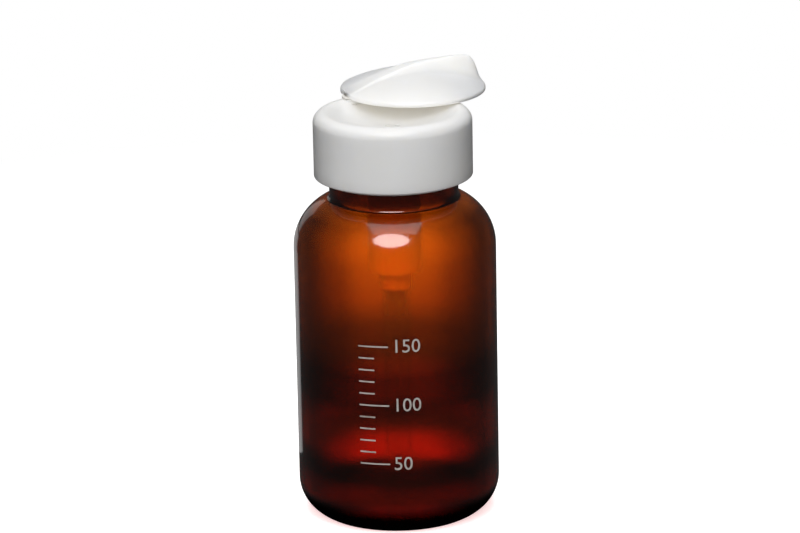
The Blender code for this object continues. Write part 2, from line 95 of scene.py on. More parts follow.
# White cap
CAP_RADIUS = CAP_HIGH.x
CAP_CREST = CAP_HIGH.z
CAP_BOTTOM = CAP_LOW.z
CAP_WALL = 1.6 * MM
RIM_OUTER_ROUND = 3.5 * MM
RIM_INNER_ROUND = 3.0 * MM
SKIRT_OUTER_ROUND = 0.5 * MM
SKIRT_INNER_ROUND = 0.3 * MM
DISH_DEPTH = 4.9 * MM
SLOT_SIZE = Vector((1.8, 1.1, 6.0)) * MM
SLOT_SPACING = 3.0 * MM
BOSS_RADIUS = 4.8 * MM
BOSS_BOTTOM = 116.3 * MM
SOCKET_RADIUS = 3.6 * MM
SOCKET_CLEAR = 0.1 * MM
KEY_COUNT = 4
KEY_SIZE = Vector((1.4, 2.0, 11.0)) * MM
KEY_SINK = 0.1 * MM
KEY_MIDDLE = 6.5 * MM
PIN_BOSS = 3.2 * MM
PIN_BOSS_RISE = 0.02 * MM
PIN_DEPTH = 4.5 * MM
PIN_HOLE = 1.8 * MM
PIN_HOLE_LOW = 0.12
PIN_HOLE_HIGH = 0.14

# Swing lid
LID_EDGE = 0.6 * MM
LID_DOME = 5.2 * MM
LID_WALL = 1.3 * MM
LID_ROLL = 0.35 * MM
LID_SPOKES = 288
LID_RINGS = 84
# The rounded edge above the lip: inset from the lid's radius, height
LID_EDGE_ROUND = ((0.14 * MM, 0.50 * MM), (0.0, 0.22 * MM))
LID_LIP = 0.75 * MM
LIP_CLEAR = math.radians(5)
LIP_FADE = math.radians(8)
LIP_INNER_INSET = 0.75 * MM
LIP_INNER_RISE = 0.4 * MM
LIP_ROOT_INSET = 1.0 * MM
HOLLOW_RINGS = 24
HOLLOW_LEDGE = 0.15 * MM
HOLLOW_RISE = 0.05 * MM
LID_SOCKET_RADIUS = 2.35 * MM
LID_SOCKET_DEPTH = 0.5 * MM
# Along the fin: share of the lid's radius, then in millimetres its crest's height, half its top's width
# and the reach of its fillet
FIN_SECTIONS = (
    (-1.00, 1.0, 3.6, 1.0), (-0.82, 2.6, 3.4, 1.2), (-0.59, 4.6, 3.0, 1.6), (-0.21, 7.1, 2.3, 2.4),
    (0.00, 8.1, 1.9, 3.2), (0.37, 8.7, 1.2, 4.8), (0.62, 9.0, 0.9, 5.5), (0.76, 8.85, 0.8, 5.5),
    (0.83, 8.35, 0.8, 5.2), (0.88, 7.3, 0.8, 4.8), (0.915, 5.7, 0.85, 4.2), (0.94, 3.9, 0.9, 3.7),
    (0.965, 1.9, 1.1, 3.0), (1.00, 0.6, 1.2, 2.0))
FIN_SOFTNESS = 0.06
FIN_HOLLOW = 2.4

# Printed scale on the glass
SCALE_RADIUS = BODY_RADIUS + 0.02 * MM
INK_THICK = 0.05 * MM
SCALE_STEP_ML = 10
SCALE_FIRST_ML = 50
SCALE_LAST_ML = 150
SCALE_LABEL_ML = 50
SCALE_LEFT = math.radians(-90 - 22)
NUMBERS_LEFT = math.radians(-90 - 3)
SHORT_STROKE = math.radians(9)
LONG_STROKE = math.radians(17)
STROKE_WIDTH = 0.45 * MM
DIGIT_HEIGHT = 6.0 * MM
MILLILITRE = 1e-6

# Mesh fineness
ROUND = 192
SMALL_ROUND = 48
PEG_ROUND = 64
HELIX_POINTS = 48
WIRE_SIDES = 14
STROKE_POINTS = 16


# Meshes

def arc(centre, radius, start, end, steps):
    """Points of an arc in the (radius, height) plane; angles from the outward direction."""
    turns = (start + (end - start) * i / steps for i in range(steps + 1))
    return [(centre[0] + radius * math.cos(turn), centre[1] + radius * math.sin(turn)) for turn in turns]


def new_object(name, data):
    """An object for the given data, linked into the scene."""
    obj = bpy.data.objects.new(name, data)
    bpy.context.scene.collection.objects.link(obj)
    return obj


def settle(obj):
    """Turns an object with modifiers into a plain mesh at the origin."""
    bpy.context.view_layer.update()
    mesh = bpy.data.meshes.new_from_object(obj.evaluated_get(bpy.context.evaluated_depsgraph_get()))
    mesh.transform(obj.matrix_world)
    obj.modifiers.clear()
    obj.data = mesh
    obj.matrix_world = Matrix.Identity(4)
    return obj


def turned(name, profile, steps=ROUND):
    """A fine turned body from (radius, height) points that run down the outer side."""
    mesh = bpy.data.meshes.new(name)
    closed = profile[0] == profile[-1]
    points = profile[:-1] if closed else profile
    edges = [(i, i + 1) for i in range(len(points) - 1)] + ([(len(points) - 1, 0)] if closed else [])
    mesh.from_pydata([(r, 0.0, z) for r, z in points], edges, [])
    obj = new_object(name, mesh)
    screw = obj.modifiers.new("turn", "SCREW")
    screw.steps = screw.render_steps = steps
    screw.use_merge_vertices = True
    screw.merge_threshold = 1e-6
    return settle(obj)


def block(name, size, centre, turn=0.0):
    """A box whose place is turned round the bottle's axis."""
    mesh = bpy.data.meshes.new(name)
    bm = bmesh.new()
    bmesh.ops.create_cube(bm, size=1.0, matrix=Matrix.Rotation(turn, 4, "Z") @ Matrix.Translation(centre)
                          @ Matrix.Diagonal((*size, 1.0)))
    bm.to_mesh(mesh)
    bm.free()
    return new_object(name, mesh)


def peg(name, radius, bottom, top):
    """An upright cylinder on the lid's pin axis."""
    mesh = bpy.data.meshes.new(name)
    bm = bmesh.new()
    bmesh.ops.create_cone(bm, cap_ends=True, segments=PEG_ROUND, radius1=radius, radius2=radius,
                          depth=top - bottom,
                          matrix=Matrix.Translation((PIN.x, PIN.y, (bottom + top) / 2)))
    bm.to_mesh(mesh)
    bm.free()
    return new_object(name, mesh)


def shaped(obj, tools):
    """Joins or cuts the piece with each tool, then drops the tools."""
    for tool, operation in tools:
        mod = obj.modifiers.new(tool.name, "BOOLEAN")
        mod.object, mod.operation, mod.solver = tool, operation, "EXACT"
    settle(obj)
    for tool, _ in tools:
        bpy.data.objects.remove(tool)
    return obj


def joined(obj, others):
    """Adds the other meshes to the first object's mesh."""
    bm = bmesh.new()
    bm.from_mesh(obj.data)
    for other in others:
        bm.from_mesh(other.data)
        bpy.data.objects.remove(other)
    bm.to_mesh(obj.data)
    bm.free()
    return obj


def smooth(obj, degrees=35):
    """Smooth shading, with edges over the given angle kept sharp."""
    obj.data.shade_smooth()
    obj.data.set_sharp_from_angle(angle=math.radians(degrees))
    return obj


def finished(obj, body, node, material):
    """Gives a piece its finish and its place in the frame."""
    obj.data.materials.clear()
    obj.data.materials.append(material)
    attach(obj, body)
    if node:
        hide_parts(node)


# Geometry node trees

def node_tree(name, sockets):
    """A geometry tree with named size inputs; returns the tree, its input and its output nodes."""
    tree = bpy.data.node_groups.new(name, "GeometryNodeTree")
    for label, kind in sockets:
        tree.interface.new_socket(label, in_out="INPUT", socket_type=kind)
    tree.interface.new_socket("Geometry", in_out="OUTPUT", socket_type="NodeSocketGeometry")
    return tree, tree.nodes.new("NodeGroupInput"), tree.nodes.new("NodeGroupOutput")


def finish_tree(tree, geometry, source, output):
    """Ends a tree: real geometry with its material set."""
    real = tree.nodes.new("GeometryNodeRealizeInstances")
    paint = tree.nodes.new("GeometryNodeSetMaterial")
    tree.links.new(geometry, real.inputs["Geometry"])
    tree.links.new(real.outputs["Geometry"], paint.inputs["Geometry"])
    tree.links.new(source.outputs["Material"], paint.inputs["Material"])
    tree.links.new(paint.outputs["Geometry"], output.inputs["Geometry"])


def grow(name, tree, values):
    """Runs a tree on an empty mesh with the given inputs and keeps the result as a plain mesh."""
    obj = new_object(name, bpy.data.meshes.new(name))
    mod = obj.modifiers.new(tree.name, "NODES")
    mod.node_group = tree
    for item in tree.interface.items_tree:
        if item.in_out == "INPUT":
            mod[item.identifier] = values[item.name]
    return settle(obj)


def helix_tree():
    """A round bead or wire wound along a helix."""
    tree, source, output = node_tree("wound_bead", (
        ("Turns", "NodeSocketFloat"), ("Radius", "NodeSocketFloat"), ("Rise", "NodeSocketFloat"),
        ("Bead", "NodeSocketFloat"), ("Foot", "NodeSocketFloat"), ("Points", "NodeSocketInt"),
        ("Material", "NodeSocketMaterial")))
    spiral = tree.nodes.new("GeometryNodeCurveSpiral")
    spiral.inputs["Reverse"].default_value = True
    section = tree.nodes.new("GeometryNodeCurvePrimitiveCircle")
    section.inputs["Resolution"].default_value = WIRE_SIDES
    sweep = tree.nodes.new("GeometryNodeCurveToMesh")
    sweep.inputs["Fill Caps"].default_value = True
    lift = tree.nodes.new("ShaderNodeCombineXYZ")
    move = tree.nodes.new("GeometryNodeTransform")
    links = tree.links
    links.new(source.outputs["Turns"], spiral.inputs["Rotations"])
    links.new(source.outputs["Points"], spiral.inputs["Resolution"])
    links.new(source.outputs["Radius"], spiral.inputs["Start Radius"])
    links.new(source.outputs["Radius"], spiral.inputs["End Radius"])
    links.new(source.outputs["Rise"], spiral.inputs["Height"])
    links.new(source.outputs["Bead"], section.inputs["Radius"])
    links.new(spiral.outputs["Curve"], sweep.inputs["Curve"])
    links.new(section.outputs["Curve"], sweep.inputs["Profile Curve"])
    links.new(source.outputs["Foot"], lift.inputs["Z"])
    links.new(sweep.outputs["Mesh"], move.inputs["Geometry"])
    links.new(lift.outputs["Vector"], move.inputs["Translation"])
    finish_tree(tree, move.outputs["Geometry"], source, output)
    return tree


def tick_tree():
    """Level strokes repeated up the glass, each a thin band that follows its curve."""
    tree, source, output = node_tree("printed_strokes", (
        ("Count", "NodeSocketInt"), ("Spacing", "NodeSocketFloat"), ("Foot", "NodeSocketFloat"),
        ("Radius", "NodeSocketFloat"), ("Sweep", "NodeSocketFloat"), ("Start", "NodeSocketFloat"),
        ("Stroke", "NodeSocketFloat"), ("Thick", "NodeSocketFloat"), ("Material", "NodeSocketMaterial")))
    nodes, links = tree.nodes, tree.links
    band = nodes.new("GeometryNodeCurveArc")
    band.inputs["Resolution"].default_value = STROKE_POINTS
    section = nodes.new("GeometryNodeCurvePrimitiveQuadrilateral")
    sweep = nodes.new("GeometryNodeCurveToMesh")
    sweep.inputs["Fill Caps"].default_value = True
    first, step = nodes.new("ShaderNodeCombineXYZ"), nodes.new("ShaderNodeCombineXYZ")
    rungs = nodes.new("GeometryNodeMeshLine")
    copies = nodes.new("GeometryNodeInstanceOnPoints")
    links.new(source.outputs["Radius"], band.inputs["Radius"])
    links.new(source.outputs["Start"], band.inputs["Start Angle"])
    links.new(source.outputs["Sweep"], band.inputs["Sweep Angle"])
    links.new(source.outputs["Thick"], section.inputs["Width"])
    links.new(source.outputs["Stroke"], section.inputs["Height"])
    links.new(band.outputs["Curve"], sweep.inputs["Curve"])
    links.new(section.outputs["Curve"], sweep.inputs["Profile Curve"])
    links.new(source.outputs["Foot"], first.inputs["Z"])
    links.new(source.outputs["Spacing"], step.inputs["Z"])
    links.new(source.outputs["Count"], rungs.inputs["Count"])
    links.new(first.outputs["Vector"], rungs.inputs["Start Location"])
    links.new(step.outputs["Vector"], rungs.inputs["Offset"])
    links.new(rungs.outputs["Mesh"], copies.inputs["Points"])
    links.new(sweep.outputs["Mesh"], copies.inputs["Instance"])
    finish_tree(tree, copies.outputs["Instances"], source, output)
    return tree


# Materials

class Finish:
    """A material under construction: its nodes, its links and its main shader."""

    def __init__(self, name, **values):
        self.material = bpy.data.materials.new(name)
        self.material.use_nodes = True
        self.tree = self.material.node_tree
        self.shader = self.tree.nodes["Principled BSDF"]
        for socket, value in values.items():
            self.shader.inputs[socket.replace("_", " ")].default_value = value
        self.place = self.add("ShaderNodeTexCoord").outputs["Object"]

    def add(self, kind, **inputs):
        node = self.tree.nodes.new(kind)
        for socket, value in inputs.items():
            self.feed(node.inputs[socket.replace("_", " ")], value)
        return node

    def feed(self, socket, value):
        if isinstance(value, bpy.types.NodeSocket):
            self.tree.links.new(value, socket)
        else:
            socket.default_value = value

    def noise(self, scale, detail=3.0):
        return self.add("ShaderNodeTexNoise", Vector=self.place, Scale=scale, Detail=detail,
                        Roughness=0.55).outputs["Fac"]

    def ramp(self, value, stops):
        node = self.add("ShaderNodeValToRGB", Fac=value)
        points = node.color_ramp.elements
        while len(points) < len(stops):
            points.new(0.5)
        for point, (spot, colour) in zip(points, stops):
            point.position = spot
            point.color = (*colour, 1.0)
        return node.outputs["Color"]

    def math(self, operation, *values):
        node = self.add("ShaderNodeMath")
        node.operation = operation
        for socket, value in zip(node.inputs, values):
            self.feed(socket, value)
        return node.outputs["Value"]

    def remap(self, value, low, high, new_low, new_high):
        node = self.add("ShaderNodeMapRange", Value=value, From_Min=low, From_Max=high, To_Min=new_low,
                        To_Max=new_high)
        return node.outputs["Result"]

    def bump(self, height, strength, distance):
        node = self.add("ShaderNodeBump", Height=height, Strength=strength, Distance=distance)
        self.feed(self.shader.inputs["Normal"], node.outputs["Normal"])

    def set(self, socket, value):
        self.feed(self.shader.inputs[socket], value)

    def let_lamps_in(self, colour, share):
        """Lets a share of the lamps' light through the surface, tinted on its way."""
        passed = tuple(share * part for part in colour)
        through = self.add("ShaderNodeBsdfTransparent", Color=(*passed, 1.0))
        lamp_ray = self.add("ShaderNodeLightPath").outputs["Is Shadow Ray"]
        mixed = self.add("ShaderNodeMixShader", Fac=lamp_ray)
        self.tree.links.new(self.shader.outputs["BSDF"], mixed.inputs[1])
        self.tree.links.new(through.outputs["BSDF"], mixed.inputs[2])
        self.tree.links.new(mixed.outputs["Shader"], self.tree.nodes["Material Output"].inputs["Surface"])


# Painted glow and painted shade bands up the amber glass: share of its height, colour
GLASS_PAINTED_BANDS = (
    (0.045, (0.03, 0.01, 0.006)), (0.065, (0.68, 0.07, 0.02)), (0.11, (0.68, 0.07, 0.02)),
    (0.155, (0.08, 0.03, 0.02)), (0.19, (0.10, 0.035, 0.03)), (0.235, (0.88, 0.14, 0.05)),
    (0.295, (0.78, 0.15, 0.05)), (0.37, (0.11, 0.045, 0.025)), (0.45, (0.13, 0.055, 0.03)),
    (0.525, (0.56, 0.27, 0.08)), (0.67, (1.0, 0.50, 0.10)), (0.885, (1.0, 0.70, 0.14)),
    (0.912, (0.14, 0.05, 0.015)), (1.00, (0.10, 0.035, 0.01)))
# Painted shade where the wall turns away from the eye: slant, colour
SLANT_PAINTED_SHADE = (
    (0.04, (1.0, 1.0, 1.0)), (0.10, (0.88, 0.86, 0.84)), (0.20, (0.46, 0.42, 0.38)),
    (0.49, (0.13, 0.115, 0.10)), (0.70, (0.06, 0.05, 0.045)))
# Shares of the height between which that painted shade gives way to a painted glow under the neck
NECK_GLOW_START, NECK_GLOW_END = 0.862, 0.892
GLASS_DEPTH_COLOUR = (0.90, 0.60, 0.037, 1.0)
GLASS_DENSITY = 600.0
GLASS_LAMP_TINT = (0.94, 0.52, 0.12)
SEAM_HALF_WIDTH = 0.008
LID_LAMP_TINT = (1.0, 0.96, 0.87)
SPECK_COLOUR = (0.30, 0.24, 0.18, 1.0)
WARM_SHADE = (0.98, 0.97, 0.945)


def amber_glass():
    """Blown amber glass with small dents and a mould seam; its colour holds painted glow and shade bands up
    the bottle and painted shade towards its sides.
    """
    glass = Finish("amber_glass", Transmission_Weight=1.0, IOR=1.5, Coat_Weight=1.0, Coat_Roughness=0.06)
    place = glass.add("ShaderNodeSeparateXYZ", Vector=glass.place)
    level = glass.math("ADD", glass.remap(place.outputs["Z"], 0.0, BOTTLE_HIGH.z, 0.0, 1.0),
                       glass.remap(glass.noise(18.0, 2.0), 0.0, 1.0, -0.02, 0.02))
    # Painted glow and painted shade: the glass colour changes in bands with height
    tone = glass.ramp(level, GLASS_PAINTED_BANDS)
    # Painted shade: the glass colour darkens where the wall turns away from the eye
    slant = glass.add("ShaderNodeLayerWeight", Blend=0.5).outputs["Facing"]
    edge_shade = glass.ramp(slant, SLANT_PAINTED_SHADE)
    # Painted glow: under the neck the painted shade gives way to a bright band
    neck_glow = glass.add("ShaderNodeMix")
    neck_glow.data_type = "RGBA"
    glass.feed(neck_glow.inputs["Factor"], glass.remap(level, NECK_GLOW_START, NECK_GLOW_END, 0.0, 0.9))
    glass.feed(neck_glow.inputs["A"], edge_shade)
    neck_glow.inputs["B"].default_value = (0.9, 0.86, 0.82, 1.0)
    shade = glass.add("ShaderNodeMix")
    shade.data_type, shade.blend_type = "RGBA", "MULTIPLY"
    shade.inputs["Factor"].default_value = 1.0
    glass.feed(shade.inputs["A"], tone)
    glass.feed(shade.inputs["B"], neck_glow.outputs["Result"])
    glass.set("Base Color", shade.outputs["Result"])
    glass.set("Roughness", glass.remap(glass.noise(60.0), 0.3, 0.7, 0.10, 0.16))
    turn = glass.math("ARCTAN2", place.outputs["Y"], place.outputs["X"])
    past_seam = glass.math("SUBTRACT", turn, SEAM_AZIMUTH)
    off_seam = glass.math("ABSOLUTE", glass.math("PINGPONG", past_seam, math.pi / 2))
    seam = glass.remap(off_seam, 0.0, SEAM_HALF_WIDTH, 1.0, 0.0)
    dents = glass.math("ADD", glass.noise(28.0, 1.0), glass.math("MULTIPLY", glass.noise(420.0, 3.0), 0.12))
    glass.bump(glass.math("ADD", dents, glass.math("MULTIPLY", seam, 0.06)), 0.10, 0.002)
    depth = glass.add("ShaderNodeVolumeAbsorption", Color=GLASS_DEPTH_COLOUR, Density=GLASS_DENSITY)
    glass.let_lamps_in(GLASS_LAMP_TINT, 1.0)
    glass.tree.links.new(depth.outputs["Volume"], glass.tree.nodes["Material Output"].inputs["Volume"])
    return glass.material


def white_moulding(name, colour, specks, depth, share=0.0):
    """Satin white plastic: faint mould texture, uneven tone, some dark specks and light in its depth."""
    white = Finish(name, IOR=1.49, Subsurface_Weight=depth, Subsurface_Scale=0.005,
                   Subsurface_Radius=(1.0, 0.95, 0.86))
    tone = white.remap(white.noise(40.0, 4.0), 0.3, 0.7, 0.0, 1.0)
    warm = tuple(part * shade for part, shade in zip(colour, WARM_SHADE))
    clean = white.ramp(tone, ((0.0, warm), (1.0, colour)))
    grit = white.ramp(white.noise(950.0, 2.0), ((0.0, (0, 0, 0)), (0.78, (0, 0, 0)), (0.82, (1, 1, 1))))
    mix = white.add("ShaderNodeMix")
    mix.data_type = "RGBA"
    white.feed(mix.inputs["Factor"], white.math("MULTIPLY", grit, specks))
    white.feed(mix.inputs["A"], clean)
    mix.inputs["B"].default_value = SPECK_COLOUR
    white.set("Base Color", mix.outputs["Result"])
    white.set("Roughness", white.remap(white.noise(70.0, 1.0), 0.2, 0.8, 0.29, 0.37))
    white.bump(white.noise(700.0, 2.0), 0.03, 0.0002)
    if share:
        white.let_lamps_in(LID_LAMP_TINT, share)
    return white.material


def natural_plastic():
    """Cloudy natural polyethylene of the pump."""
    cloudy = Finish("natural_plastic", IOR=1.5, Subsurface_Weight=0.3, Subsurface_Scale=0.003)
    cloud = cloudy.noise(120.0, 3.0)
    cloudy.set("Base Color", cloudy.ramp(cloud, ((0.3, (0.84, 0.85, 0.84)), (0.7, (0.90, 0.91, 0.90)))))
    cloudy.set("Roughness", cloudy.remap(cloud, 0.3, 0.7, 0.32, 0.48))
    return cloudy.material


def clear_tubing():
    """Clear tubing with a slight haze along it."""
    clear = Finish("clear_tubing", Transmission_Weight=1.0, IOR=1.25)
    haze = clear.noise(90.0, 3.0)
    clear.set("Base Color", clear.ramp(haze, ((0.3, (0.90, 0.92, 0.91)), (0.7, (0.97, 0.98, 0.97)))))
    clear.set("Roughness", clear.remap(haze, 0.3, 0.7, 0.05, 0.16))
    return clear.material


def gasket_rubber():
    """Matt grey rubber of the neck's seal."""
    rubber = Finish("gasket_rubber", IOR=1.5)
    grain = rubber.noise(900.0, 4.0)
    rubber.set("Base Color", rubber.ramp(grain, ((0.3, (0.28, 0.28, 0.27)), (0.7, (0.36, 0.36, 0.35)))))
    rubber.set("Roughness", rubber.remap(grain, 0.3, 0.7, 0.65, 0.8))
    rubber.bump(grain, 0.2, 0.0002)
    return rubber.material


def drawn_steel():
    """Drawn and ground steel of the spring, balls and pin."""
    steel = Finish("drawn_steel", Metallic=1.0)
    grain = steel.noise(700.0, 5.0)
    steel.set("Base Color", steel.ramp(grain, ((0.3, (0.56, 0.56, 0.54)), (0.7, (0.66, 0.66, 0.64)))))
    steel.set("Roughness", steel.remap(grain, 0.3, 0.7, 0.2, 0.34))
    return steel.material


def pale_ink():
    """Pale grey print, a little thin in places."""
    ink = Finish("pale_ink", IOR=1.45)
    wear = ink.noise(420.0, 5.0)
    ink.set("Base Color", ink.ramp(wear, ((0.32, (0.33, 0.31, 0.28)), (0.5, (0.50, 0.48, 0.45)))))
    ink.set("Roughness", ink.remap(wear, 0.3, 0.7, 0.45, 0.65))
    ink.bump(wear, 0.15, 0.0001)
    return ink.material


GLASS = amber_glass()
CAP_WHITE = white_moulding("cap_white", (0.91, 0.90, 0.88), specks=0.6, depth=0.6)
LID_WHITE = white_moulding("lid_white", (0.91, 0.905, 0.89), specks=0.0, depth=1.0, share=0.45)
HIDDEN_WHITE = white_moulding("collar_white", (0.84, 0.83, 0.80), specks=0.0, depth=0.1)
NATURAL = natural_plastic()
TUBING = clear_tubing()
RUBBER = gasket_rubber()
STEEL = drawn_steel()
INK = pale_ink()
HELIX = helix_tree()
TICKS = tick_tree()


# Pieces

def make_bottle():
    """Hollow bottle with a rounded heel, round shoulder, filleted neck and its screw bead."""
    centre = (BODY_RADIUS - SHOULDER_RADIUS, SHOULDER_START)
    inner_shoulder = SHOULDER_RADIUS - GLASS_WALL
    inner_end = math.acos((NECK_BORE - centre[0]) / inner_shoulder)
    outer_end = math.acos((NECK_RADIUS + NECK_FILLET - centre[0]) / (SHOULDER_RADIUS + NECK_FILLET))
    heel = HEEL_CENTRE
    floor_turn = math.asin((heel[1] - GLASS_FLOOR) / INNER_HEEL)
    lip = BOTTLE_HIGH.z - LIP_ROUND
    fillet = (NECK_RADIUS + NECK_FILLET,
              centre[1] + (SHOULDER_RADIUS + NECK_FILLET) * math.sin(outer_end))
    profile = [(0.0, GLASS_FLOOR)] + [(heel[0] * i / 8, GLASS_FLOOR) for i in range(1, 8)]
    profile += arc(heel, INNER_HEEL, -floor_turn, 0.0, 14)
    profile += [(INNER_RADIUS, heel[1] + (SHOULDER_START - heel[1]) * i / 12) for i in range(1, 12)]
    profile += arc(centre, inner_shoulder, 0.0, inner_end, 22)
    profile += arc((NECK_BORE + LIP_ROUND, lip), LIP_ROUND, math.pi, math.pi / 2, 6)
    profile += arc((NECK_RADIUS - LIP_ROUND, lip), LIP_ROUND, math.pi / 2, 0.0, 6)
    profile += arc(fillet, NECK_FILLET, math.pi, math.pi + outer_end, 6)
    profile += arc(centre, SHOULDER_RADIUS, outer_end, 0.0, 30)
    profile += [(BODY_RADIUS, SHOULDER_START - (SHOULDER_START - heel[1]) * i / 12)
                for i in range(1, 12)]
    profile += arc(heel, HEEL_RADIUS, 0.0, -HEEL_TURN, 20)
    base = profile[-1][0]
    profile += [(base * (1 - i / 8), 0.0) for i in range(1, 9)]
    bottle = turned("bottle_glass", profile)
    bead = grow("neck_bead", HELIX, {
        "Turns": BEAD_TURNS, "Radius": NECK_RADIUS, "Rise": BEAD_RISE, "Bead": BEAD_RADIUS,
        "Foot": BEAD_FOOT, "Points": HELIX_POINTS, "Material": GLASS})
    joined(bottle, [bead])
    finished(smooth(bottle), "bottle", "glass_bottle", GLASS)


def dish_curve():
    """Where the dish's parabola meets the rim's inner round: centre, blend angle, radius and bend."""
    centre = (CAP_RADIUS - RIM_OUTER_ROUND, CAP_CREST - RIM_INNER_ROUND)
    dish = CAP_CREST - DISH_DEPTH
    low, high = 0.01, 1.2
    for _ in range(60):
        lean = (low + high) / 2
        edge = centre[0] - RIM_INNER_ROUND * math.sin(lean)
        if dish + edge * math.tan(lean) / 2 < centre[1] + RIM_INNER_ROUND * math.cos(lean):
            low = lean
        else:
            high = lean
    return centre, lean, edge, math.tan(lean) / (2 * edge)


def make_cap():
    """Push cap with its dish, rounded rim, skirt, stem socket, outlet slots and the lid's boss."""
    rim_in, lean, edge, bend = dish_curve()
    rim_out = (rim_in[0], CAP_CREST - RIM_OUTER_ROUND)
    dish, skirt, top = CAP_CREST - DISH_DEPTH, CAP_RADIUS - CAP_WALL, math.pi / 2
    profile = [(edge * i / 24, dish + bend * (edge * i / 24) ** 2) for i in range(24)]
    profile += arc(rim_in, RIM_INNER_ROUND, top + lean, top, 12)
    profile += arc(rim_out, RIM_OUTER_ROUND, top, 0.0, 18)[1:]
    profile += [(CAP_RADIUS, CAP_BOTTOM + (rim_out[1] - CAP_BOTTOM) * share) for share in (0.75, 0.5, 0.25)]
    profile += arc((CAP_RADIUS - SKIRT_OUTER_ROUND, CAP_BOTTOM + SKIRT_OUTER_ROUND), SKIRT_OUTER_ROUND,
                   0.0, -top, 5)
    profile += arc((skirt + SKIRT_INNER_ROUND, CAP_BOTTOM + SKIRT_INNER_ROUND), SKIRT_INNER_ROUND,
                   -top, -2 * top, 4)
    profile += arc(rim_out, RIM_OUTER_ROUND - CAP_WALL, 0.0, top, 10)
    profile += arc(rim_in, RIM_INNER_ROUND - CAP_WALL, top, top + lean, 6)[1:]
    under = edge + CAP_WALL * math.sin(lean)
    profile += [(r, dish - CAP_WALL + bend * r ** 2)
                for r in (under + (BOSS_RADIUS - under) * i / 12 for i in range(1, 13))]
    socket = dish - CAP_WALL - SOCKET_CLEAR
    profile += [(BOSS_RADIUS, BOSS_BOTTOM), (SOCKET_RADIUS, BOSS_BOTTOM), (SOCKET_RADIUS, socket),
                (0.0, socket)]
    cap = turned("cap_body", profile)
    boss = peg("pin_boss", PIN_BOSS, CAP_CREST - PIN_DEPTH, CAP_CREST + PIN_BOSS_RISE)
    hole = peg("pin_hole", PIN_HOLE, PIN_HOLE_LOW, PIN_HOLE_HIGH)
    tools = [(boss, "UNION"), (hole, "DIFFERENCE")]
    for side in (-1, 1):
        slot = block(f"slot_{side}", SLOT_SIZE, Vector((side * SLOT_SPACING / 2, 0.0, dish)))
        tools.append((slot, "DIFFERENCE"))
    for i in range(KEY_COUNT):
        key = block(f"key_{i}", KEY_SIZE, Vector((skirt - KEY_SINK, 0.0, CAP_BOTTOM + KEY_MIDDLE)),
                    math.tau * (i + 0.5) / KEY_COUNT)
        tools.append((key, "UNION"))
    finished(smooth(shaped(cap, tools), 30), "plunger", "push_cap", CAP_WHITE)


def eased(spot, stations, column):
    """Smooth value between the fin's sections at a share of the lid's radius."""
    spots = [row[0] for row in stations]
    values = [row[column] for row in stations]
    last = len(spots) - 1
    i = max(k for k in range(last) if spots[k] <= spot or k == 0)

    def slope(k):
        if k in (0, last):
            return 0.0
        left = (values[k] - values[k - 1]) / (spots[k] - spots[k - 1])
        right = (values[k + 1] - values[k]) / (spots[k + 1] - spots[k])
        return 0.0 if left * right <= 0 else 2 * left * right / (left + right)

    span = spots[i + 1] - spots[i]
    t = min(max((spot - spots[i]) / span, 0.0), 1.0)
    return (values[i] * (2 * t ** 3 - 3 * t ** 2 + 1) + values[i + 1] * (3 * t ** 2 - 2 * t ** 3)
            + span * (slope(i) * (t ** 3 - 2 * t ** 2 + t) + slope(i + 1) * (t ** 3 - t ** 2)))


def dome_height(reach):
    """Height of the lid's plain dome at a distance from its middle."""
    return LID_EDGE + LID_DOME * (1.0 - (reach / LID_RADIUS) ** 2)


def lid_top(along, across):
    """Height of the lid's upper face: its dome, with the fin blended in by a hollow fillet."""
    dome = dome_height(math.hypot(along, across))
    share = min(max(along / LID_RADIUS, -1.0), 1.0)
    crest, flat, reach = (eased(share, FIN_SECTIONS, column) * MM for column in (1, 2, 3))
    spill = (abs(across) - flat) / reach
    spill = 0.5 * (spill + math.sqrt(spill ** 2 + FIN_SOFTNESS ** 2))
    hollow = max(1.0 - spill, 0.0) ** FIN_HOLLOW
    return dome + max(crest - dome, 0.0) * hollow


def lip_share(turn):
    """How much of the lip hangs down at a turn from the fin's tail: none over the pin's washer."""
    off_pin = abs(math.pi - turn % math.tau)
    t = min(max((off_pin - LIP_CLEAR) / LIP_FADE, 0.0), 1.0)
    return t * t * (3 - 2 * t)


